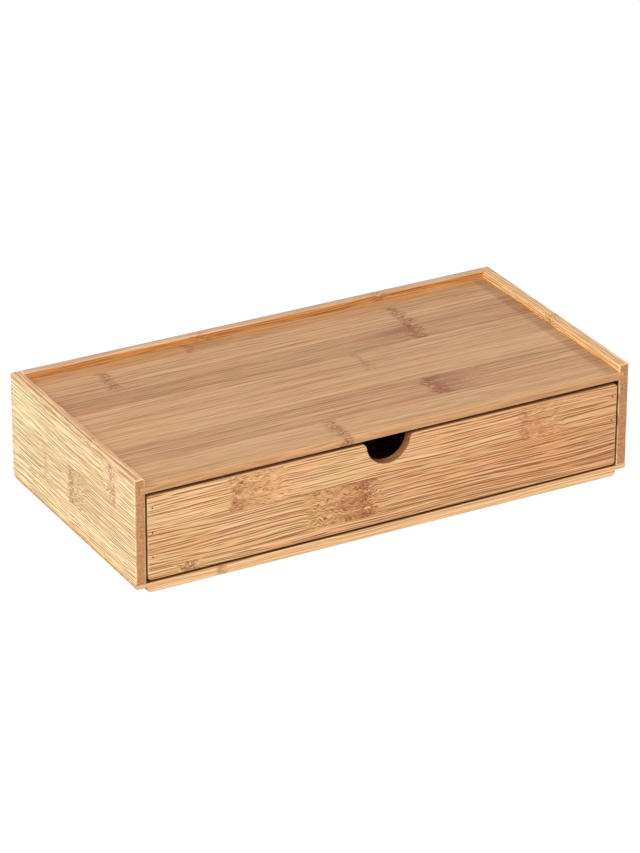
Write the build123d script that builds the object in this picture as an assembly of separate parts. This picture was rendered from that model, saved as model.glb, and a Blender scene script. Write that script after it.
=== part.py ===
"""Bamboo bathroom storage box: a low case with a tray on top and one drawer.

Millimetres. X runs along the width, the front faces -Y and +Z is up.
The origin is the middle of the footprint, on the surface that the box stands on.
"""

import math
import os

from build123d import *

# Case, outside
box_width = 300.0
box_depth = 150.0
box_height = 66.6

# Case boards
side_thickness = 6.0
back_thickness = 6.0
bottom_thickness = 5.8
tray_thickness = 5.0

# Tray: how far the rim stands above it, and the tongue that is let into the boards around it
rim_height = 4.0
tongue_step = 1.0
side_housing_depth = 3.0
back_groove_depth = 3.0

# Underside: the board is stepped in, so that its foot drops inside the rim of a like box
foot_depth = 3.4
stack_clearance = 0.5
foot_corner_round = 3.0
foot_edge_round = 2.0

# Easing of the case
lower_back_round = 4.5
upper_back_round = 2.0
outer_edge_round = 0.8
inner_rim_round = 1.5
back_rim_round = 0.8
tray_front_round = 0.8
case_arris = 0.4
front_arris = 0.6

# Drawer boards
drawer_front_thickness = 6.0
drawer_side_thickness = 6.0
drawer_back_thickness = 6.0
drawer_floor_thickness = 3.0
drawer_groove_depth = 3.0
drawer_groove_lift = 4.0

# Clearances of the drawer in the case
drawer_side_gap = 1.0
drawer_top_gap = 1.9
drawer_front_lift = 1.2
drawer_slide_gap = 0.3
drawer_back_gap = 0.5

# Drawer front
front_corner_round = 2.0
drawer_arris = 0.5
notch_radius = 13.2
notch_depth = 14.1
notch_flare = 3.0

# Brads: small headed pins, driven in until the head lies below the face
brad_radius = 0.4
brad_head_radius = 0.55
brad_head_height = 0.5
brad_length = 18.0
brad_point = 1.5
brad_sink = 0.5
brad_grip = 0.02

# Places of the brads
drawer_brad_count = 3
drawer_brad_lowest = 13.1
drawer_brad_top_margin = 7.0
bottom_brad_count = 3
bottom_brad_margin = 20.0

# Tolerance for finding an edge by its place
place_tolerance = 0.001

# Planes of the case
half_width = box_width / 2
front = -box_depth / 2
back = box_depth / 2
inner_side = half_width - side_thickness
inner_back = back - back_thickness
floor_top = bottom_thickness
tray_top = box_height - rim_height
tray_underside = tray_top - tray_thickness
tongue_top = tray_top - tongue_step
tray_back = inner_back + back_groove_depth
tray_half_width = inner_side + side_housing_depth
foot_half_width = inner_side - stack_clearance
foot_back = inner_back - stack_clearance

# Planes of the drawer
drawer_half_width = inner_side - drawer_side_gap
drawer_inner_side = drawer_half_width - drawer_side_thickness
drawer_inner_front = front + drawer_front_thickness
drawer_rear = inner_back - drawer_back_gap
drawer_inner_rear = drawer_rear - drawer_back_thickness
drawer_top = tray_underside - drawer_top_gap
drawer_base = floor_top + drawer_slide_gap
drawer_front_base = floor_top + drawer_front_lift
drawer_floor_base = drawer_base + drawer_groove_lift
drawer_floor_top = drawer_floor_base + drawer_floor_thickness
drawer_floor_half_width = drawer_inner_side + drawer_groove_depth
drawer_floor_front = drawer_inner_front - drawer_groove_depth
drawer_floor_rear = drawer_inner_rear + drawer_groove_depth
drawer_brad_highest = drawer_top - drawer_brad_top_margin - drawer_front_base


def block(x_range, y_range, z_range):
    """A box between two places along each axis."""
    lows, highs = zip(x_range, y_range, z_range)
    size = [high - low for low, high in zip(lows, highs)]
    return Pos(*lows) * Box(*size, align=(Align.MIN, Align.MIN, Align.MIN))


def across(half_length):
    """A range that is centred on the middle of the box."""
    return (-half_length, half_length)


def edges_along(shape, axis, x=None, y=None, z=None):
    """The edges parallel to an axis whose middle lies at the given places."""
    found = shape.edges().filter_by(axis)
    for index, place in enumerate((x, y, z)):
        if place is not None:
            found = ShapeList(e for e in found if abs(tuple(e.center())[index] - place) < place_tolerance)
    return found


def evenly(low, high, count):
    """Places spread evenly from low to high, both included."""
    step = (high - low) / (count - 1)
    return [low + step * index for index in range(count)]


def lower_back_cut():
    """What rounding takes off the lower back edge of the glued-up case."""
    low = foot_depth
    high = foot_depth + lower_back_round
    square = block(across(half_width), (back - lower_back_round, back), (low, high))
    roller = Pos(0, back - lower_back_round, high) * Rot(0, 90, 0) * Cylinder(lower_back_round, box_width)
    return square - roller


def inner_rim_cut():
    """What rounding takes off the top inner edge of the right side panel, in front of the back panel."""
    x_range = (inner_side, inner_side + inner_rim_round)
    z_range = (box_height - inner_rim_round, box_height)
    square = block(x_range, (front, inner_back), z_range)
    middle = (front + inner_back) / 2
    roller = Pos(x_range[1], middle, z_range[0]) * Rot(90, 0, 0) * Cylinder(inner_rim_round, inner_back - front)
    return square - roller


def brad():
    """One brad along -Z, with the top of its head at the origin."""
    profile = Polyline(
        (0, 0),
        (brad_head_radius, 0),
        (brad_head_radius, -brad_head_height),
        (brad_radius, -brad_head_height),
        (brad_radius, brad_point - brad_length),
        (0, -brad_length),
        close=True,
    )
    return revolve(Plane.XZ * make_face(profile), Axis.Z)


def brad_hole():
    """The hole that one brad leaves, from the face of the board, a little tighter than the brad."""
    shank = Cylinder(brad_radius - brad_grip, brad_length, align=(Align.CENTER, Align.CENTER, Align.MAX))
    mouth_depth = brad_sink + brad_head_height
    mouth = Cylinder(brad_head_radius - brad_grip, mouth_depth, align=(Align.CENTER, Align.CENTER, Align.MAX))
    return Pos(0, 0, -brad_sink) * shank + mouth


def brad_group(places):
    """Brads at places that stand on the face of a board, with +Z out of the board."""
    sunk = Pos(0, 0, -brad_sink) * brad()
    return Compound([place * sunk for place in places])


def drill(board, places):
    """A board with brad holes at the given places."""
    for place in places:
        board -= place * brad_hole()
    return board


# Where the brads stand, by group
drawer_brad_x = drawer_half_width - drawer_side_thickness / 2
drawer_brad_heights = evenly(
    drawer_front_base + drawer_brad_lowest,
    drawer_front_base + drawer_brad_highest,
    drawer_brad_count,
)
bottom_brad_x = half_width - side_thickness / 2
bottom_brad_y = back - back_thickness / 2
bottom_brad_rows = evenly(front + bottom_brad_margin, inner_back - bottom_brad_margin, bottom_brad_count)
back_brad_columns = evenly(bottom_brad_margin - inner_side, inner_side - bottom_brad_margin, bottom_brad_count)

facing_front = Rot(90, 0, 0)
facing_back = Rot(-90, 0, 0)
facing_down = Rot(180, 0, 0)

brad_places = {
    "front_brads_left": [Pos(-drawer_brad_x, front, z) * facing_front for z in drawer_brad_heights],
    "front_brads_right": [Pos(drawer_brad_x, front, z) * facing_front for z in drawer_brad_heights],
    "back_brads_left": [Pos(-drawer_brad_x, drawer_rear, z) * facing_back for z in drawer_brad_heights],
    "back_brads_right": [Pos(drawer_brad_x, drawer_rear, z) * facing_back for z in drawer_brad_heights],
    "bottom_brads_left": [Pos(-bottom_brad_x, y, foot_depth) * facing_down for y in bottom_brad_rows],
    "bottom_brads_right": [Pos(bottom_brad_x, y, foot_depth) * facing_down for y in bottom_brad_rows],
    "bottom_brads_back": [Pos(x, bottom_brad_y, foot_depth) * facing_down for x in back_brad_columns],
}


def tray_housing_cut():
    """The space that the tongue of the tray board takes up, cut from the panels around it."""
    return block(across(tray_half_width), (front, tray_back), (tray_underside, tongue_top))


def right_side():
    """Side panel: stands on the lip of the bottom board, housed for the tray, its end grain to the front."""
    panel = block((inner_side, half_width), (front, back), (floor_top, box_height))
    panel -= tray_housing_cut()
    panel -= lower_back_cut()
    panel = fillet(edges_along(panel, Axis.X, y=back, z=box_height), upper_back_round)
    panel = fillet(edges_along(panel, Axis.Y, x=half_width, z=box_height), outer_edge_round)
    panel -= inner_rim_cut()
    panel = fillet(edges_along(panel, Axis.Z, y=front), front_arris)
    return drill(panel, brad_places["bottom_brads_right"])


def back_panel():
    """Back panel between the side panels, grooved for the tray board; its top is the back rim."""
    panel = block(across(inner_side), (inner_back, back), (floor_top, box_height))
    panel -= tray_housing_cut()
    panel -= lower_back_cut()
    panel = fillet(edges_along(panel, Axis.X, y=back, z=box_height), upper_back_round)
    panel = fillet(edges_along(panel, Axis.X, y=inner_back, z=box_height), back_rim_round)
    return drill(panel, brad_places["bottom_brads_back"])


def tray_board():
    """Thin top board, its front edge flush with the case, rebated to a tongue along the sides and the back."""
    board = block(across(tray_half_width), (front, tray_back), (tray_underside, tray_top))
    board = fillet(edges_along(board, Axis.X, y=front, z=tray_top), tray_front_round)
    board = fillet(edges_along(board, Axis.X, y=front, z=tray_underside), case_arris)
    rebate = block(across(tray_half_width), (front, tray_back), (tongue_top, tray_top))
    rebate -= block(across(inner_side), (front, inner_back), (tongue_top, tray_top))
    return board - rebate


def bottom_board():
    """Full-width board under the side and back panels, with a foot that fits inside the rim of a like box."""
    foot = block(across(foot_half_width), (front, foot_back), (0, foot_depth))
    foot = fillet(edges_along(foot, Axis.Z, y=foot_back), foot_corner_round)
    foot = fillet(edges_along(foot, Axis.Y, x=foot_half_width, z=0), foot_edge_round)
    foot = fillet(edges_along(foot, Axis.X, y=front, z=0), case_arris)
    plate = block(across(half_width), (front, back), (foot_depth, floor_top))
    plate -= lower_back_cut()
    for side in (-half_width, half_width):
        plate = fillet(edges_along(plate, Axis.Y, x=side, z=foot_depth), outer_edge_round)
    plate = fillet(edges_along(plate, Axis.X, y=front, z=floor_top), case_arris)
    board = plate + foot
    for group in ("bottom_brads_left", "bottom_brads_right", "bottom_brads_back"):
        board = drill(board, brad_places[group])
    return board


def notch_shape():
    """Outline of the finger notch, drawn on the face of the drawer front."""
    centre = drawer_top - notch_depth + notch_radius
    flare_height = drawer_top - notch_flare
    flare_x = math.sqrt((notch_radius + notch_flare) ** 2 - (flare_height - centre) ** 2)
    touch = centre + (flare_height - centre) * notch_radius / (notch_radius + notch_flare)
    mouth_height = drawer_top - touch
    mouth = Pos(0, touch + mouth_height / 2) * Rectangle(2 * flare_x, mouth_height)
    for side in (-flare_x, flare_x):
        mouth -= Pos(side, flare_height) * Circle(notch_flare)
    return mouth + Pos(0, centre) * Circle(notch_radius)


def drawer_front():
    """Drawer front with the finger notch; it covers the ends of the drawer sides."""
    height = drawer_top - drawer_front_base
    middle = (drawer_top + drawer_front_base) / 2
    face = Pos(0, middle) * RectangleRounded(2 * drawer_half_width, height, front_corner_round)
    face -= notch_shape()
    board = extrude(Plane.XZ.offset(-front) * face, -drawer_front_thickness)
    for plane in (front, drawer_inner_front):
        board = fillet(edges_along(board, Axis.X, y=plane, z=drawer_front_base), drawer_arris)
    board -= drawer_groove_cut()
    for group in ("front_brads_left", "front_brads_right"):
        board = drill(board, brad_places[group])
    return board


def drawer_groove_cut():
    """The space that the drawer's floor panel takes up, cut from the boards around it."""
    return block(
        across(drawer_floor_half_width),
        (drawer_floor_front, drawer_floor_rear),
        (drawer_floor_base, drawer_floor_top),
    )


def drawer_right_side():
    """Drawer side between the front and the back, grooved for the floor panel."""
    y_range = (drawer_inner_front, drawer_inner_rear)
    board = block((drawer_inner_side, drawer_half_width), y_range, (drawer_base, drawer_top))
    board = fillet(edges_along(board, Axis.Y), drawer_arris)
    board -= drawer_groove_cut()
    for group in ("front_brads_right", "back_brads_right"):
        board = drill(board, brad_places[group])
    return board


def drawer_back():
    """Drawer back; it covers the ends of the drawer sides."""
    board = block(across(drawer_half_width), (drawer_inner_rear, drawer_rear), (drawer_base, drawer_top))
    board = fillet(edges_along(board, Axis.X), drawer_arris)
    board -= drawer_groove_cut()
    for group in ("back_brads_left", "back_brads_right"):
        board = drill(board, brad_places[group])
    return board


def drawer_floor():
    """Thin floor panel, held in the grooves of the four drawer boards."""
    return drawer_groove_cut()


right_panel = right_side()
right_drawer_board = drawer_right_side()

nodes = {
    "left_side": mirror(right_panel, about=Plane.YZ),
    "right_side": right_panel,
    "back_panel": back_panel(),
    "tray_board": tray_board(),
    "bottom_board": bottom_board(),
    "drawer_front": drawer_front(),
    "drawer_left_side": mirror(right_drawer_board, about=Plane.YZ),
    "drawer_right_side": right_drawer_board,
    "drawer_back": drawer_back(),
    "drawer_floor": drawer_floor(),
}
for group, places in brad_places.items():
    nodes[group] = brad_group(places)

os.makedirs("parts", exist_ok=True)
for name, shape in nodes.items():
    export_step(shape, f"parts/{name}.step")
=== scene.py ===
import math

import bpy
from mathutils import Matrix, Vector


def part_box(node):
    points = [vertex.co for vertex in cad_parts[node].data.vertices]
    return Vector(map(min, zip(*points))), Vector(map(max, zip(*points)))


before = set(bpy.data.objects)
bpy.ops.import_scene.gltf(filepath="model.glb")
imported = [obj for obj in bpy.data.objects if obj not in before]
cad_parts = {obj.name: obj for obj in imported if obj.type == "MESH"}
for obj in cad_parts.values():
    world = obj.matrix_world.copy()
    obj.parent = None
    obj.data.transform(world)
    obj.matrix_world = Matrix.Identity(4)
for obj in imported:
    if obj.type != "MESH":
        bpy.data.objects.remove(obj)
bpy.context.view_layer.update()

MM = 0.001


# Camera, fitted to the straight edges of the box

AZIMUTH = math.radians(-28.95)
ELEVATION = math.radians(25.90)
ROLL = math.radians(0.203)
TARGET = Vector((-0.00025, -0.00012, 0.03055))
DISTANCE = 2.2951
ASIDE = -0.000089
UPWARD = -0.000521
LENS = 177.75
SENSOR = 36.0
CLIP_START = 0.05
CLIP_END = 50


def add_camera():
    """The camera, looking at the target from the given azimuth and elevation."""
    back = Vector((
        math.sin(AZIMUTH) * math.cos(ELEVATION),
        -math.cos(AZIMUTH) * math.cos(ELEVATION),
        math.sin(ELEVATION),
    ))
    level_right = Vector((math.cos(AZIMUTH), math.sin(AZIMUTH), 0))
    level_up = back.cross(level_right)
    right = level_right * math.cos(ROLL) + level_up * math.sin(ROLL)
    up = level_up * math.cos(ROLL) - level_right * math.sin(ROLL)
    data = bpy.data.cameras.new("camera")
    data.lens = LENS
    data.sensor_width = SENSOR
    data.clip_start = CLIP_START
    data.clip_end = CLIP_END
    camera = bpy.data.objects.new("camera", data)
    turn = Matrix((right, up, back)).transposed().to_4x4()
    place = TARGET - right * ASIDE - up * UPWARD + back * DISTANCE
    camera.matrix_world = Matrix.Translation(place) @ turn
    bpy.context.scene.collection.objects.link(camera)
    bpy.context.scene.camera = camera


# Node trees

# Which way an offset moves noise
OFFSET_DIRECTION = (1.0, 1.7, 2.3)

# Rows of lines, in shares of their pitch: the range that the middle of a line lies in, how near that middle
# the line is full, and how far below 0 the value goes halfway between two lines
LINE_RANGE = 0.36
LINE_CORE = 0.04
LINE_BETWEEN = 0.6
# A line fades in where its noise goes from the first value to the second
LINE_FADE = (0.37, 0.62)
# How far apart the noise of two rows is
ROW_STEP = 5.3


def linear(red, green, blue):
    """A colour given in 8-bit sRGB, as linear RGBA."""
    channels = []
    for value in (red, green, blue):
        share = value / 255
        if share <= 0.04045:
            channels.append(share / 12.92)
        else:
            channels.append(((share + 0.055) / 1.055) ** 2.4)
    return (*channels, 1)


class Nodes:
    """Short calls that add nodes to a tree. A value is a number, a tuple or another node's socket."""

    def __init__(self, tree):
        self.tree = tree
        tree.nodes.clear()

    def add(self, kind, inputs=None, **settings):
        node = self.tree.nodes.new("ShaderNode" + kind)
        for name, value in settings.items():
            setattr(node, name, value)
        for name, value in (inputs or {}).items():
            self.feed(node.inputs[name], value)
        return node

    def feed(self, socket, value):
        if isinstance(value, bpy.types.NodeSocket):
            self.tree.links.new(value, socket)
        else:
            socket.default_value = value

    def math(self, operation, *values):
        return self.add("Math", dict(enumerate(values)), operation=operation).outputs[0]

    def times(self, first, second):
        return self.math("MULTIPLY", first, second)

    def scaled(self, value, factor, base):
        """A value times a factor, plus a base."""
        return self.math("MULTIPLY_ADD", value, factor, base)

    def centred(self, value, reach):
        """A value from 0 to 1, spread over a range as long as reach with 0 in its middle."""
        return self.scaled(value, reach, -reach / 2)

    def vector(self, operation, *values):
        return self.add("VectorMath", dict(enumerate(values)), operation=operation).outputs[0]

    def tinted(self, colour, tint):
        return self.vector("MULTIPLY", colour, tint)

    def split(self, vector):
        return self.add("SeparateXYZ", {0: vector}).outputs

    def join(self, x, y, z):
        return self.add("CombineXYZ", {0: x, 1: y, 2: z}).outputs[0]

    def ramp_up(self, value, low, high):
        """0 below low and 1 above high, with a smooth step between; low may be the larger."""
        inputs = {"Value": value, "From Min": low, "From Max": high, "To Min": 0.0, "To Max": 1.0}
        return self.add("MapRange", inputs, interpolation_type="SMOOTHSTEP").outputs[0]

    def mix(self, factor, first, second):
        node = self.add("Mix", data_type="RGBA")
        for index, value in ((0, factor), (6, first), (7, second)):
            self.feed(node.inputs[index], value)
        return node.outputs[2]

    def cover(self, colour, other, share, most):
        """A colour with another one over it, which covers it by share times most."""
        return self.mix(self.times(share, most), colour, other)

    def noise(self, place, sizes, detail=0.0, offset=0.0):
        """Noise whose features are as long along each axis as the three sizes."""
        scaled = self.vector("MULTIPLY", place, tuple(1 / size for size in sizes))
        if offset:
            scaled = self.vector("ADD", scaled, tuple(offset * part for part in OFFSET_DIRECTION))
        inputs = {"Vector": scaled, "Scale": 1.0, "Detail": detail, "Roughness": 0.5}
        return self.add("TexNoise", inputs).outputs["Fac"]

    def spots(self, place, sizes):
        """Distance to the nearest of scattered points, 1 being about the distance between two of them."""
        scaled = self.vector("MULTIPLY", place, tuple(1 / size for size in sizes))
        inputs = {"Vector": scaled, "Scale": 1.0}
        return self.add("TexVoronoi", inputs, feature="F1").outputs["Distance"]

    def lines(self, along, across, pitch, length, width, offset):
        """Thin lines, one in each row, 1 on a line and below 0 between two.

        The rows are a pitch apart. A line has faded out at width, a share of the pitch, from its middle.
        It also fades in and out along its length.
        """
        turns = self.math("DIVIDE", across, pitch)
        index = self.math("FLOOR", turns)
        draw = self.add("TexWhiteNoise", {"W": self.math("ADD", index, offset)}, noise_dimensions="1D")
        middle = self.scaled(draw.outputs["Value"], LINE_RANGE, 0.5 - LINE_RANGE / 2)
        off_middle = self.math("SUBTRACT", self.math("SUBTRACT", turns, index), middle)
        off_middle = self.math("ABSOLUTE", off_middle)
        own_place = self.join(self.math("DIVIDE", along, length), self.times(index, ROW_STEP), offset)
        presence = self.noise(own_place, (1, 1, 1), 1.0)
        between = self.times(self.ramp_up(off_middle, width, 0.5), LINE_BETWEEN)
        profile = self.math("SUBTRACT", self.ramp_up(off_middle, width, LINE_CORE), between)
        return self.times(profile, self.ramp_up(presence, *LINE_FADE))

    def steps(self, share, rows):
        """Reads a table by share. Each row is where it starts, from 0 to 1, and four numbers from 0 to 1."""
        ramp = self.add("ValToRGB", {0: share})
        table = ramp.color_ramp
        table.interpolation = "CONSTANT"
        while len(table.elements) > 1:
            table.elements.remove(table.elements[-1])
        table.elements[0].position = 0
        table.elements[0].color = rows[0][1]
        for start, numbers in rows[1:]:
            table.elements.new(start).color = numbers
        colour = self.add("SeparateColor", {0: ramp.outputs["Color"]})
        return (*colour.outputs[:3], ramp.outputs["Alpha"])

    def end_in_shader(self, inputs):
        """Ends the tree in a Principled shader."""
        shader = self.add("BsdfPrincipled", inputs)
        output = self.add("OutputMaterial")
        self.tree.links.new(shader.outputs[0], output.inputs["Surface"])


def new_material(name):
    """A new material, and the calls that fill its tree."""
    material = bpy.data.materials.new(name)
    material.use_nodes = True
    return material, Nodes(material.node_tree)


def set_material(node, material):
    """Gives a node of the frame one material in all its slots."""
    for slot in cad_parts[node].material_slots:
        slot.material = material


# Bamboo: its strips and knots, with lengths in mm

AXES = {
    "XY": (0, 1, 2),
    "XZ": (0, 2, 1),
    "YZ": (1, 2, 0),
}

# A strip has at most this many knots
KNOTS = 2
NO_KNOT = (0.0, 0.0, 0.0)

# A glue line shows where the tone this much farther across is another one, and is full where the two tones
# are one part in SEAM_GAIN apart
SEAM_WIDTH = 0.5
SEAM_GAIN = 20.0

# How far the tone of a strip moves the noise along the grain, so that each strip has its own
TONE_SHIFT = 173.0

# Noise: the sizes of its features along, across and through the grain, its detail and its offset
WOBBLE_NOISE = ((9, 5, 5), 1.0, 3.1)
DRIFT_NOISE = ((60, 16, 16), 0.0, 6.3)
SWAY_NOISE = ((8.0, 5.0, 5.0), 0.0, 5.7)

# A knot: how far its line wavers, what its strength adds to its size, and the size at no strength
KNOT_WAVER = 10.0
SIZE_BY_STRENGTH = 1.1
LEAST_SIZE = 0.25
# Distances from a knot of size 1 between which its band, the core of the band and its figure fade from 0 to 1
BAND_FADE = (5.4, 1.4)
CORE_FADE = (2.8, 1.2)
FIGURE_FADE = (23.0, 8.0)
# How far beside a knot that leans fully its figure lies, and the share of the full reach that the figure of a
# knot has that doesn't lean
FIGURE_ASIDE = 13.0
FIGURE_UPRIGHT = 0.4
# Distances along the lean of a knot between which its stain sets in, and ends
STAIN_START = (-2.0, 1.0)
STAIN_END = (36.0, 3.0)

# How far fibres drift off the length of the board, and sway in the figure
DRIFT = 4.0
SWAY = 5.2
# Zigzags in the figure: how long a leg is, how steep, and how far the wobble moves them
ZIGZAG_LEG = 1.8
ZIGZAG_SLOPE = 0.5
ZIGZAG_SHIFT = 8.0


class Board:
    """A board's box, and the place and normal on it as sockets: along, across and through the grain.

    plan names the axis that the grain runs along and the axis across it in the face of the board.
    """

    def __init__(self, nodes, node, plan):
        order = AXES[plan]
        low, high = (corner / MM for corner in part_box(node))
        self.low = [low[index] for index in order]
        self.high = [high[index] for index in order]
        self.length = self.high[0] - self.low[0]
        self.width = self.high[1] - self.low[1]
        coordinates = nodes.add("TexCoord").outputs
        place = nodes.split(nodes.vector("MULTIPLY", coordinates["Object"], (1 / MM,) * 3))
        normal = nodes.split(coordinates["Normal"])
        self.place = [place[index] for index in order]
        self.normal = [normal[index] for index in order]
        self.height = place[2]


def strip_rows(board, strips, which):
    """One knot of each strip as a table by the share of the width: place, side, tone and strength."""
    rows = []
    for start, tone, *knots in strips:
        place, side, strength = (*knots, *[NO_KNOT] * KNOTS)[which]
        share = max(0.0, (start - board.low[1]) / board.width)
        rows.append((share, ((place - board.low[0]) / board.length, side / 2 + 0.5, tone, strength)))
    return rows


def read_strips(nodes, board, strips):
    """The tone of the strips, the seams between them, and the knots of each."""
    share = nodes.math("DIVIDE", nodes.math("SUBTRACT", board.place[1], board.low[1]), board.width)
    ahead = nodes.math("ADD", share, SEAM_WIDTH / board.width)
    tones = [nodes.steps(place, strip_rows(board, strips, 0))[2] for place in (share, ahead)]
    seam = nodes.math("ABSOLUTE", nodes.math("SUBTRACT", *tones))
    seam = nodes.math("MINIMUM", nodes.times(seam, SEAM_GAIN), 1.0)
    knots = []
    for which in range(KNOTS):
        place, side, tone, strength = nodes.steps(share, strip_rows(board, strips, which))
        place = nodes.scaled(place, board.length, board.low[0])
        knots.append((place, nodes.centred(side, 2.0), strength))
    return tone, seam, knots


def knot_parts(nodes, board, knots, wobble, curly):
    """How strongly the brown band of a knot, its core, its figure and its stain show, from 0 to 1."""
    totals = (0.0, 0.0, 0.0, 0.0)
    for place, side, strength in knots:
        ahead = nodes.math("SUBTRACT", board.place[0], place)
        ahead = nodes.math("ADD", ahead, nodes.centred(wobble, KNOT_WAVER))
        size = nodes.scaled(strength, SIZE_BY_STRENGTH, LEAST_SIZE)
        lean = nodes.math("ABSOLUTE", side)

        far = nodes.math("DIVIDE", nodes.math("ABSOLUTE", ahead), size)
        band = nodes.times(nodes.ramp_up(far, *BAND_FADE), strength)
        core = nodes.times(nodes.ramp_up(far, *CORE_FADE), strength)

        reach = nodes.times(size, nodes.scaled(lean, 1 - FIGURE_UPRIGHT, FIGURE_UPRIGHT))
        off_figure = nodes.math("ABSOLUTE", nodes.scaled(side, -FIGURE_ASIDE, ahead))
        figure = nodes.ramp_up(nodes.math("DIVIDE", off_figure, reach), *FIGURE_FADE)
        figure = nodes.times(figure, nodes.times(strength, curly))

        aside = nodes.times(ahead, side)
        stain = nodes.times(nodes.ramp_up(aside, *STAIN_START), nodes.ramp_up(aside, *STAIN_END))
        stain = nodes.times(stain, nodes.times(lean, strength))

        parts = (band, core, figure, stain)
        totals = tuple(nodes.math("MAXIMUM", total, part) for total, part in zip(totals, parts))
    return totals


def bent_place(nodes, own_place, shifted, wobble, figure):
    """The place that fibres are read at, which drifts, and sways and zigzags in the figure."""
    drift = nodes.centred(nodes.noise(own_place, *DRIFT_NOISE), DRIFT)
    sway = nodes.centred(nodes.noise(own_place, *SWAY_NOISE), SWAY)
    zigzag = nodes.math("PINGPONG", nodes.scaled(wobble, ZIGZAG_SHIFT, shifted), ZIGZAG_LEG)
    zigzag = nodes.math("SUBTRACT", zigzag, ZIGZAG_LEG / 2)
    curl = nodes.scaled(zigzag, ZIGZAG_SLOPE, sway)
    bend = nodes.math("ADD", nodes.times(curl, figure), drift)
    return nodes.vector("ADD", own_place, nodes.join(0.0, bend, 0.0))


class Grain:
    """The strips and knots of one board, and the places that its noise is read at."""

    def __init__(self, nodes, node, plan, strips, offset, curly):
        self.board = Board(nodes, node, plan)
        self.tone, self.seam, knots = read_strips(nodes, self.board, strips)
        along, across, through = self.board.place
        # Places that differ from strip to strip, and from board to board
        self.shifted = nodes.scaled(self.tone, TONE_SHIFT, along)
        self.own_place = nodes.join(self.shifted, nodes.math("ADD", across, offset), through)
        wobble = nodes.noise(self.own_place, *WOBBLE_NOISE)
        parts = knot_parts(nodes, self.board, knots, wobble, curly)
        self.band, self.core, self.figure, self.stain = parts
        self.bent = bent_place(nodes, self.own_place, self.shifted, wobble, self.figure)


# Bamboo: the shade of its fibres, from 0, dark, to 1, pale

# Rows of fibres are warped by this much
ROW_WARP = 1.6
ROW_NOISE = ((70, 5, 1), 1.0, 0.7)

# Dark lines: where they show, pitch as a share of the board's, length, width as a share of the pitch, noise
# offset, mean and weight. In both tables the length is a share of the board's, or in mm in the figure.
LINES = (
    ("straight", 1.00, 1.4, 0.32, 0.3, 0.10, -0.75),
    ("straight", 1.55, 1.8, 0.26, 2.9, 0.08, -0.50),
    ("straight", 2.60, 2.0, 0.18, 7.7, 0.04, -0.40),
    ("figure", 1.10, 4.5, 0.34, 4.1, 0.10, -0.70),
)
# Broader fibres, dark and pale: where they show, length, thickness, noise offset and weight
FIBRES = (
    ("straight", 4.0, 0.70, 0.0, 0.5),
    ("straight", 0.8, 0.70, 4.4, 0.2),
    ("figure", 3.0, 0.85, 2.9, 1.4),
    ("everywhere", 3.0, 1.5, 3.3, 0.2),
)
# Broad streaks and clouds: length as a share of the board's, thickness and noise offset
STREAKS = (8, 4.2, 7.9)
CLOUDS = (16, 11, 1.3)
NOISE_MEAN = 0.5

# How strong the figure is where its layers have taken over from the straight ones, and by what share they do
FIGURE_FULL = 0.8
FIGURE_MOST = 0.88

# Shade of a strip of tone 0, and what a tone of 1 and a glue line add to it
SHADE_OF_PALEST = 0.63
SHADE_BY_TONE = -0.45
SHADE_BY_SEAM = -0.22


def fibre_noise(nodes, place, length, thickness, offset):
    """Noise that is drawn out along the grain."""
    return nodes.noise(place, (length, thickness, thickness), 1.0, offset)


def fibre_shade(nodes, grain, clouds, lengthwise, length, pitch, lively, streaky):
    """The shade of the faces along the grain, which follows the strips and the fibres."""
    beside = nodes.math("ADD", nodes.split(grain.bent)[1], nodes.times(lengthwise, grain.board.place[2]))
    warp = nodes.noise(nodes.join(grain.shifted, beside, 0.0), *ROW_NOISE)
    beside = nodes.math("ADD", beside, nodes.centred(warp, ROW_WARP))

    # For each zone, how far its layers show, and the unit of their length
    in_figure = nodes.times(nodes.ramp_up(grain.figure, 0.0, FIGURE_FULL), FIGURE_MOST)
    zones = {
        "straight": (nodes.math("SUBTRACT", 1.0, in_figure), length),
        "figure": (in_figure, 1.0),
        "everywhere": (1.0, length),
    }
    layers = []
    for zone, pitches, run, width, offset, mean, weight in LINES:
        presence, unit = zones[zone]
        lines = nodes.lines(grain.shifted, beside, pitches * pitch, run * unit, width, offset)
        layers.append((lines, mean, nodes.times(presence, weight * lively)))
    for zone, run, thickness, offset, weight in FIBRES:
        presence, unit = zones[zone]
        fibres = fibre_noise(nodes, grain.bent, run * unit, thickness, offset)
        layers.append((fibres, NOISE_MEAN, nodes.times(presence, weight * lively)))
    run, thickness, offset = STREAKS
    streaks = fibre_noise(nodes, grain.bent, run * length, thickness, offset)
    layers.append((streaks, NOISE_MEAN, streaky))
    layers.append((clouds, NOISE_MEAN, streaky))

    shade = nodes.scaled(grain.tone, SHADE_BY_TONE, SHADE_OF_PALEST)
    for value, mean, weight in layers:
        shade = nodes.scaled(nodes.math("SUBTRACT", value, mean), weight, shade)
    shade = nodes.scaled(grain.seam, SHADE_BY_SEAM, shade)
    return nodes.math("MINIMUM", nodes.math("MAXIMUM", shade, 0.0), 1.0)


# Bamboo: its colours and its finish

# Warm patches, then cool ones: noise, the values between which it fades in, tint, and how far they cover
PATCHES = (
    (((45, 6, 6), 1.0, 2.2), (0.48, 0.66), (1.0, 0.89, 0.76), 0.6),
    (((30, 9, 9), 1.0, 3.6), (0.54, 0.40), (0.95, 1.0, 0.95), 1.0),
)
RED_TINT = (0.94, 0.80, 0.72)

# What the shade does to a colour that is given as one: factor and base of each channel
SHADING = ((0.74, 0.63), (0.94, 0.53), (1.10, 0.45))

# Parts of the normal between which a face turns into an edge, an end, or the face on one side
EDGE_FACING = (0.4, 0.8)
END_FACING = (0.55, 0.8)
INNER_FACING = (0.5, 0.9)
# How far these cover the colour of the faces along the grain
FACE_COVER = 0.9

# Painted shade: a dark brown for the inside of the case, under the tray and on its floor, where shade falls
INSIDE_SHADE_BROWN = linear(121, 66, 30)
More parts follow.
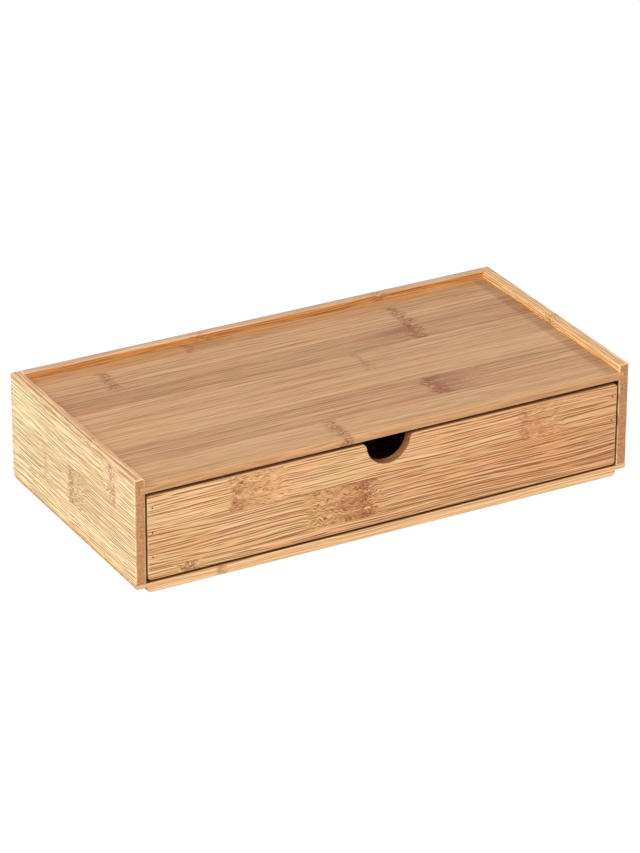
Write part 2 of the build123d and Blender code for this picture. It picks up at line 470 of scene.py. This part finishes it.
# Over how many mm the painted shade of the inside turns into the colour of the inner face
INSIDE_SHADE_FADE = 1

# Browns of the knots, as shares of a board's middle colour
KNOT_BROWN = (0.58, 0.38, 0.27)
SCAR_BROWN = (0.42, 0.24, 0.17)
PIT_BROWN = (0.12, 0.06, 0.04)
# Noise of a knot. The mottle, the scars and the pale specks each have the values of it between which they
# fade in, and how far they cover.
KNOT_NOISE = ((2.4, 1.2, 1.2), 1.0, 9.2)
MOTTLE_FADE = (0.28, 0.50)
MOTTLE_COVER = 0.85
SCAR_FADE = (0.56, 0.66)
SCAR_COVER = 0.7
SPECK_FADE = (0.44, 0.34)
SPECK_COVER = 0.45
# The same for the stain and the pits, which are read from spots of these sizes
STAIN_NOISE = ((60, 1.8, 1.8), 1.0, 2.2)
STAIN_FADE = (0.34, 0.56)
STAIN_COVER = 0.75
PIT_SIZES = (2.2, 2.6, 2.6)
PIT_FADE = (0.33, 0.18)
PIT_COVER = 0.85

# End grain: dots, and patches that are paler by this tint
DOT_SIZES = (1.0, 0.85, 0.85)
DOT_FADE = (0.46, 0.20)
DOT_COVER = 0.8
END_SIZES = (1.0, 1.6, 1.6)
END_FADE = (0.40, 0.62)
END_TINT = (1.36, 1.36, 1.33)

# Rubbed edges: depth in mm below two faces at once, the clouds that they show in, and how far they cover
RUB_DEPTH = (1.0, 0.2)
RUB_FADE = (0.30, 0.60)
RUB_COVER = 0.55

# Roughness that open fibres, knots and end grain add, and how much it differs from cloud to cloud
DULL_FIBRES = 0.14
DULL_KNOTS = 0.12
DULL_ENDS = 0.18
DULL_CLOUDS = 0.12
SPECULAR = 0.45

# Relief: depth of pits and dots beside that of the fibres, and the strength and height in mm of the bump
PIT_DEPTH = 2.0
DOT_DEPTH = 0.8
BUMP_STRENGTH = 0.5
BUMP_HEIGHT = 0.05


def browned(colour, shares):
    """A colour with each channel times its share."""
    return (*(channel * share for channel, share in zip(colour, shares)), 1)


def face_colour(nodes, grain, shade, pale, middle, dark, redden):
    """The colour of the faces along the grain, with warm and cool patches.

    The board may turn redder toward its far end, or toward the near one where redden is negative.
    """
    colour = nodes.mix(nodes.scaled(shade, 2.0, -1.0), middle, pale)
    colour = nodes.mix(nodes.scaled(shade, -2.0, 1.0), colour, dark)
    for noise, fade, tint, most in PATCHES:
        patches = nodes.ramp_up(nodes.noise(grain.own_place, *noise), *fade)
        colour = nodes.cover(colour, nodes.tinted(colour, tint), patches, most)
    ends = (grain.board.low[0], grain.board.high[0])
    if redden <= 0:
        ends = ends[::-1]
    redder = nodes.ramp_up(grain.board.place[0], *ends)
    return nodes.cover(colour, nodes.tinted(colour, RED_TINT), redder, abs(redden))


def add_inner_face(nodes, board, colour, shades, inner):
    """The colour with that of the inner face over it, on that side of the board. That colour holds painted
    bounce light, and below the given height it turns into painted shade.
    """
    inner_colour, side, shaded_below = inner
    # Below the given height the inner face is painted in shade; above it, its colour holds painted bounce
    # light
    inside_shade = nodes.ramp_up(board.height, shaded_below, shaded_below - INSIDE_SHADE_FADE)
    shaded = nodes.tinted(nodes.mix(inside_shade, inner_colour, INSIDE_SHADE_BROWN), shades)
    toward = nodes.ramp_up(nodes.times(board.normal[2], side), *INNER_FACING)
    return nodes.cover(colour, shaded, toward, FACE_COVER)


def add_knots(nodes, grain, colour, shades, pale, middle):
    """The colour with the knots over it, and how far their mottle and their pits show.

    A knot is a brown mottled band across the strip with pits in it, and a stain that fades along the strip.
    """
    shaded_knot = nodes.tinted(browned(middle, KNOT_BROWN)[:3], shades)
    patches = nodes.noise(grain.own_place, *KNOT_NOISE)
    mottle = nodes.times(grain.band, nodes.ramp_up(patches, *MOTTLE_FADE))
    colour = nodes.cover(colour, shaded_knot, mottle, MOTTLE_COVER)
    scar = nodes.times(grain.band, nodes.ramp_up(patches, *SCAR_FADE))
    colour = nodes.cover(colour, browned(middle, SCAR_BROWN), scar, SCAR_COVER)
    speck = nodes.times(grain.band, nodes.ramp_up(patches, *SPECK_FADE))
    colour = nodes.cover(colour, pale, speck, SPECK_COVER)
    streaks = nodes.noise(grain.bent, *STAIN_NOISE)
    stain = nodes.times(grain.stain, nodes.ramp_up(streaks, *STAIN_FADE))
    colour = nodes.cover(colour, shaded_knot, stain, STAIN_COVER)
    pit = nodes.ramp_up(nodes.spots(grain.own_place, PIT_SIZES), *PIT_FADE)
    pit = nodes.times(pit, grain.core)
    return nodes.cover(colour, browned(middle, PIT_BROWN), pit, PIT_COVER), mottle, pit


def end_grain(nodes, board, offset, middle, end):
    """The brown of the end grain, with the dots of the fibre bundles, and where the dots are."""
    cut_place = nodes.join(0.0, *board.place[1:])
    dots = nodes.ramp_up(nodes.spots(cut_place, DOT_SIZES), *DOT_FADE)
    patches = nodes.ramp_up(nodes.noise(cut_place, END_SIZES, 1.0, offset), *END_FADE)
    colour = nodes.mix(patches, end, nodes.tinted(end[:3], END_TINT))
    return nodes.cover(colour, browned(middle, SCAR_BROWN), dots, DOT_COVER), dots


def edge_rub(nodes, board, clouds):
    """How far the eased edges are rubbed: near two faces of the box at once, and in clouds."""
    depths = []
    for place, low, high in zip(board.place, board.low, board.high):
        off_middle = nodes.math("ABSOLUTE", nodes.math("SUBTRACT", place, (low + high) / 2))
        depths.append(nodes.math("SUBTRACT", (high - low) / 2, off_middle))
    nearer = nodes.math("MINIMUM", depths[0], depths[1])
    farther = nodes.math("MAXIMUM", depths[0], depths[1])
    second = nodes.math("MAXIMUM", nearer, nodes.math("MINIMUM", farther, depths[2]))
    return nodes.times(nodes.ramp_up(second, *RUB_DEPTH), nodes.ramp_up(clouds, *RUB_FADE))


def bamboo(
    name, node, plan, strips, pale, middle, dark, end, edge, offset, inner=None,
    length=14, pitch=1.25, lively=1.0, streaky=0.2, curly=1.0, redden=0.0, gloss=0.30,
):
    """Gives one board laminated bamboo.

    plan names the axis that the grain runs along and the axis across it in the face of the board. Each strip
    is where it starts across the board, how dark it is from 0 to 1, and up to two knots: where the knot lies
    along the board, which way its figure and stain run from -1 to 1, and how strong it is. pale, middle and
    dark are the colours of the faces along the grain, end that of the end grain, and edge that of the narrow
    edges along the grain. inner is the colour of the face on one side of the board, which holds painted
    bounce light, the side that it is on, and the height below which that face is painted in shade. offset
    makes the noise differ from that of other boards.

    length is how long the fibres look, pitch how far apart they lie, and lively how strongly they differ.
    streaky is how strong the broad streaks are, curly how strong the figure beside a knot is, redden how much
    redder the board gets toward one end, and gloss the roughness of the lacquer.
    """
    material, nodes = new_material(name)
    grain = Grain(nodes, node, plan, strips, offset, curly)
    board = grain.board
    lengthwise = nodes.ramp_up(nodes.math("ABSOLUTE", board.normal[1]), *EDGE_FACING)
    endwise = nodes.ramp_up(nodes.math("ABSOLUTE", board.normal[0]), *END_FACING)
    run, thickness, cloud_offset = CLOUDS
    clouds = fibre_noise(nodes, grain.own_place, run * length, thickness, cloud_offset)

    shade = fibre_shade(nodes, grain, clouds, lengthwise, length, pitch, lively, streaky)
    shades = nodes.join(*(nodes.scaled(shade, factor, base) for factor, base in SHADING))
    colour = face_colour(nodes, grain, shade, pale, middle, dark, redden)
    colour = nodes.cover(colour, nodes.tinted(edge[:3], shades), lengthwise, FACE_COVER)
    if inner:
        colour = add_inner_face(nodes, board, colour, shades, inner)
    colour, mottle, pit = add_knots(nodes, grain, colour, shades, pale, middle)
    end_colour, dots = end_grain(nodes, board, offset, middle, end)
    colour = nodes.cover(colour, end_colour, endwise, FACE_COVER)
    colour = nodes.cover(colour, pale, edge_rub(nodes, board, clouds), RUB_COVER)

    # A satin lacquer that is duller in the open fibres, at knots and on end grain
    dull = nodes.times(nodes.math("SUBTRACT", 1.0, shade), DULL_FIBRES)
    dull = nodes.math("ADD", dull, nodes.times(mottle, DULL_KNOTS))
    dull = nodes.math("ADD", dull, nodes.times(endwise, DULL_ENDS))
    lacquer = nodes.scaled(clouds, DULL_CLOUDS, gloss - DULL_CLOUDS / 2)
    relief = nodes.math("SUBTRACT", shade, nodes.times(pit, PIT_DEPTH))
    relief = nodes.math("SUBTRACT", relief, nodes.times(nodes.times(dots, endwise), DOT_DEPTH))
    bump = nodes.add("Bump", {"Strength": BUMP_STRENGTH, "Distance": BUMP_HEIGHT * MM, "Height": relief})
    nodes.end_in_shader({
        "Base Color": colour,
        "Roughness": nodes.math("ADD", dull, lacquer),
        "Normal": bump.outputs[0],
        "Specular IOR Level": SPECULAR,
    })
    set_material(node, material)


# Strips of the boards: start across the grain, tone, then knots as (place along the grain, side, strength)

TRAY_STRIPS = [
    (-75, 0.20, (-26, 0, 0.7)),
    (-53, 0.60, (47, 1, 1.0)),
    (-31, 0.15),
    (-8.3, 0.25, (28, 0, 0.4)),
    (14.1, 0.80, (73, -1, 0.9)),
    (35.3, 0.35, (-105, 0, 0.7), (76, 0, 0.7)),
    (57.5, 0.45, (-48, 1, 0.5)),
]
FRONT_STRIPS = [
    (5.8, 0.35, (-119, 0, 0.9)),
    (12.8, 0.45, (-13, -1, 1.0)),
    (35.0, 0.15, (-90.7, 1, 0.7), (83.5, 1, 0.5)),
]
LEFT_STRIPS = [
    (5.8, 0.10, (48, 0, 0.3)),
    (19.6, 0.45, (1, -0.5, 0.7), (33, 0, 0.3)),
    (41.6, 0.15, (-48, 0.3, 0.7)),
    (63.6, 0.60, (-20, 0, 0.3)),
]
RIGHT_STRIPS = [
    (6, 0.40, (-50, 1, 0.7)),
    (24, 0.15, (20, -1, 0.9)),
    (46, 0.35, (-2, 0, 0.7)),
]
BACK_STRIPS = [
    (6, 0.25, (-120, 1, 0.8), (54, 1, 0.8)),
    (28, 0.50, (-15, -1, 0.9)),
    (50, 0.40, (-37, 0, 0.6), (76, 0, 0.6)),
]
BOTTOM_STRIPS = [
    (-75, 0.20, (-100, 0, 0.5)),
    (-60, 0.45, (20, 1, 0.8)),
    (-38, 0.10, (-60, -1, 0.8), (115, -1, 0.8)),
    (-16, 0.55, (35, 1, 0.7)),
    (6, 0.25, (-110, 1, 0.9), (64, 1, 0.9)),
    (28, 0.40, (-20, -1, 0.8)),
    (50, 0.15, (90, 1, 0.7)),
]
DRAWER_LEFT_STRIPS = [
    (6, 0.30, (30, 1, 0.8)),
    (24, 0.15, (-40, -1, 0.7)),
    (46, 0.50),
]
DRAWER_RIGHT_STRIPS = [
    (6, 0.15, (-20, -1, 0.7)),
    (20, 0.45, (45, 1, 0.8)),
    (42, 0.25),
]
DRAWER_BACK_STRIPS = [
    (6, 0.50, (60, 1, 0.8)),
    (18, 0.20, (-80, 1, 0.8), (94, 1, 0.8)),
    (40, 0.35, (10, -1, 0.7)),
]
DRAWER_FLOOR_STRIPS = [
    (-75, 0.20, (-30, 1, 0.7)),
    (-55, 0.45, (60, -1, 0.8), (-114, -1, 0.8)),
    (-33, 0.15, (-80, 1, 0.7), (94, 1, 0.7)),
    (-11, 0.35, (15, 1, 0.8)),
    (11, 0.10, (-55, -1, 0.8), (119, -1, 0.8)),
    (33, 0.50, (75, 1, 0.7), (-99, 1, 0.7)),
    (55, 0.25, (-10, 1, 0.7)),
]

# Looks of the boards, by the names that bamboo takes

SIDE_BOARD = {
    "pale": linear(255, 231, 179),
    "middle": linear(233, 200, 146),
    "dark": linear(178, 134, 86),
    "end": linear(177, 118, 71),
    "edge": linear(202, 155, 109),
    "length": 9,
    "lively": 1.15,
    "streaky": 0.1,
    "redden": -0.4,
}
BACK_BOARD = {
    "pale": linear(255, 219, 163),
    "middle": linear(238, 186, 128),
    "dark": linear(180, 121, 70),
    "end": linear(190, 138, 92),
    "edge": linear(182, 147, 113),
    "lively": 0.75,
}
FRONT_BOARD = {
    "pale": linear(247, 208, 163),
    "middle": linear(224, 170, 113),
    "dark": linear(155, 97, 47),
    # The end and edge browns are darker than the face: partly the board's own darker cut edges, partly
    # painted shade for the gaps round the drawer front, in which its top edge shows
    "end": linear(150, 102, 64),
    "edge": linear(150, 102, 62),
    "lively": 0.92,
    "redden": 1.0,
}
DRAWER_BOARD = {
    "pale": linear(248, 206, 156),
    "middle": linear(222, 174, 120),
    "dark": linear(160, 106, 62),
    "end": linear(196, 144, 98),
    "edge": linear(212, 160, 108),
    "gloss": 0.45,
}
TRAY_BOARD = {
    "pale": linear(203, 158, 112),
    "middle": linear(180, 132, 88),
    "dark": linear(141, 92, 53),
    "end": linear(190, 138, 90),
    "edge": linear(207, 151, 99),
    "pitch": 2.3,
    "lively": 0.44,
    "streaky": 0.55,
    "curly": 0.45,
}
BOTTOM_BOARD = {
    "pale": linear(232, 172, 92),
    "middle": linear(206, 140, 66),
    "dark": linear(152, 92, 36),
    "end": linear(193, 158, 110),
    "edge": linear(235, 190, 138),
    "length": 30,
    "lively": 0.6,
    "curly": 0.4,
    "gloss": 0.5,
}

# Heights of the faces that close off the inside of the case, whose inner faces are painted in shade
TRAY_UNDERSIDE = 57.6
FLOOR_TOP = 5.8

# Inner faces: colour, the side of the board that they are on, and the height below which they are painted in
# shade. The colours hold painted bounce light, the deeper orange that light takes between the boards,
# brightest on the right side's inner face.
LEFT_INNER = (linear(233, 182, 120), 1, TRAY_UNDERSIDE)
RIGHT_INNER = (linear(252, 201, 136), -1, TRAY_UNDERSIDE)
BACK_INNER = (linear(218, 152, 84), -1, TRAY_UNDERSIDE)
BOTTOM_INNER = (INSIDE_SHADE_BROWN, 1, FLOOR_TOP)

# Material, node, plan, strips, look, offset and inner face of each board
BOARDS = (
    ("bamboo_tray", "tray_board", "XY", TRAY_STRIPS, TRAY_BOARD, 0, None),
    ("bamboo_front", "drawer_front", "XZ", FRONT_STRIPS, FRONT_BOARD, 31, None),
    ("bamboo_left", "left_side", "YZ", LEFT_STRIPS, SIDE_BOARD, 67, LEFT_INNER),
    ("bamboo_right", "right_side", "YZ", RIGHT_STRIPS, SIDE_BOARD, 103, RIGHT_INNER),
    ("bamboo_back", "back_panel", "XZ", BACK_STRIPS, BACK_BOARD, 139, BACK_INNER),
    ("bamboo_bottom", "bottom_board", "XY", BOTTOM_STRIPS, BOTTOM_BOARD, 171, BOTTOM_INNER),
    ("bamboo_drawer_left", "drawer_left_side", "YZ", DRAWER_LEFT_STRIPS, DRAWER_BOARD, 211, None),
    ("bamboo_drawer_right", "drawer_right_side", "YZ", DRAWER_RIGHT_STRIPS, DRAWER_BOARD, 251, None),
    ("bamboo_drawer_back", "drawer_back", "XZ", DRAWER_BACK_STRIPS, DRAWER_BOARD, 283, None),
    ("bamboo_drawer_floor", "drawer_floor", "XY", DRAWER_FLOOR_STRIPS, DRAWER_BOARD, 311, None),
)


def dress_boards():
    """Gives each board its own bamboo."""
    for name, node, plan, strips, look, offset, inner in BOARDS:
        bamboo(name, node, plan, strips, offset=offset, inner=inner, **look)


# Brads

BRAD_GROUPS = (
    "front_brads_left",
    "front_brads_right",
    "back_brads_left",
    "back_brads_right",
    "bottom_brads_left",
    "bottom_brads_right",
    "bottom_brads_back",
)
# Steel painted far darker than bare wire: partly its dull, tarnished finish, partly painted shade for the
# sunk holes that the heads sit in
STEEL_WITH_PAINTED_SHADE = linear(96, 84, 72)
TARNISH_WITH_PAINTED_SHADE = linear(58, 40, 27)
TARNISH_NOISE = ((0.5, 0.5, 0.5), 2.0, 0.0)
TARNISH_FADE = (0.42, 0.62)
# Fine marks in the wire
MARKS_NOISE = ((0.06, 0.06, 0.06), 1.0, 2.0)
# Roughness of the wire, and what the marks and the tarnish add
STEEL_ROUGHNESS = 0.3
MARKS_ROUGHNESS = 0.2
TARNISH_ROUGHNESS = 0.25
MARKS_STRENGTH = 0.4
MARKS_HEIGHT = 0.02


def dress_brads():
    """Dark steel wire with brown patches of tarnish. Its darkness is partly a dull finish and partly painted
    shade for the sunk holes that the heads sit in.
    """
    material, nodes = new_material("brad_steel")
    place = nodes.vector("MULTIPLY", nodes.add("TexCoord").outputs["Object"], (1 / MM,) * 3)
    tarnish = nodes.ramp_up(nodes.noise(place, *TARNISH_NOISE), *TARNISH_FADE)
    marks = nodes.noise(place, *MARKS_NOISE)
    roughness = nodes.scaled(marks, MARKS_ROUGHNESS, STEEL_ROUGHNESS)
    bump = nodes.add("Bump", {"Strength": MARKS_STRENGTH, "Distance": MARKS_HEIGHT * MM, "Height": marks})
    nodes.end_in_shader({
        "Base Color": nodes.mix(tarnish, STEEL_WITH_PAINTED_SHADE, TARNISH_WITH_PAINTED_SHADE),
        "Metallic": 1.0,
        "Roughness": nodes.math("ADD", nodes.times(tarnish, TARNISH_ROUGHNESS), roughness),
        "Normal": bump.outputs[0],
    })
    for group in BRAD_GROUPS:
        set_material(group, material)


# Studio

FLOOR_HALF = 8.0
FLOOR_WHITE = (0.9, 0.9, 0.9, 1)
FLOOR_GLOW = 1.06
SHADOW_SHARE = 0.10
WHITE = (1, 1, 1, 1)
AMBIENT = 0.10

# Name, place, size in metres and power in watts: a key from the left, a fill in front, a soft top, a rim from
# the right and one below, which the floor blocks, and which lights the underside where there is no floor
LAMPS = (
    ("key", (-1.35, -0.20, 1.05), 0.85, 17.3),
    ("fill", (-0.35, -1.05, 1.32), 0.9, 17.1),
    ("top", (0.0, 0.4, 1.8), 1.0, 0.9),
    ("rim", (3.00, 0.30, 1.32), 0.28, 78.0),
    ("under", (-0.5, -0.8, -1.2), 0.9, 18.0),
)


def seen_straight(nodes):
    """1 for rays that see the background itself: from the camera, in a gloss or through glass."""
    path = nodes.add("LightPath").outputs
    seen = nodes.math("MAXIMUM", path["Is Camera Ray"], path["Is Glossy Ray"])
    return nodes.math("MAXIMUM", seen, path["Is Transmission Ray"])


def add_floor():
    """A white floor that shows only a faint shadow of the box."""
    mesh = bpy.data.meshes.new("floor")
    corners = [(x * FLOOR_HALF, y * FLOOR_HALF, 0) for x, y in ((-1, -1), (1, -1), (1, 1), (-1, 1))]
    mesh.from_pydata(corners, [], [(0, 1, 2, 3)])
    floor = bpy.data.objects.new("floor", mesh)
    bpy.context.scene.collection.objects.link(floor)
    material, nodes = new_material("floor_white")
    diffuse = nodes.add("BsdfDiffuse", {"Color": FLOOR_WHITE})
    glow = nodes.add("Emission", {"Color": WHITE, "Strength": FLOOR_GLOW})
    share = nodes.times(seen_straight(nodes), 1 - SHADOW_SHARE)
    blend = nodes.add("MixShader", {0: share, 1: diffuse.outputs[0], 2: glow.outputs[0]})
    output = nodes.add("OutputMaterial")
    nodes.tree.links.new(blend.outputs[0], output.inputs["Surface"])
    mesh.materials.append(material)


def set_world():
    """White where it is seen, and a plain ambient light for everything else."""
    world = bpy.data.worlds.new("studio")
    bpy.context.scene.world = world
    world.use_nodes = True
    nodes = Nodes(world.node_tree)
    strength = nodes.scaled(seen_straight(nodes), 1 - AMBIENT, AMBIENT)
    background = nodes.add("Background", {"Color": WHITE, "Strength": strength})
    output = nodes.add("OutputWorld")
    nodes.tree.links.new(background.outputs[0], output.inputs["Surface"])


def add_lamps():
    """Square white area lamps that face the box."""
    for name, place, size, power in LAMPS:
        data = bpy.data.lights.new(name, "AREA")
        data.shape = "SQUARE"
        data.size = size
        data.energy = power
        lamp = bpy.data.objects.new(name, data)
        lamp.location = place
        lamp.rotation_euler = (TARGET - Vector(place)).to_track_quat("-Z", "Y").to_euler()
        bpy.context.scene.collection.objects.link(lamp)


add_camera()
dress_boards()
dress_brads()
add_floor()
set_world()
add_lamps()

bpy.context.scene.view_settings.view_transform = "Standard"
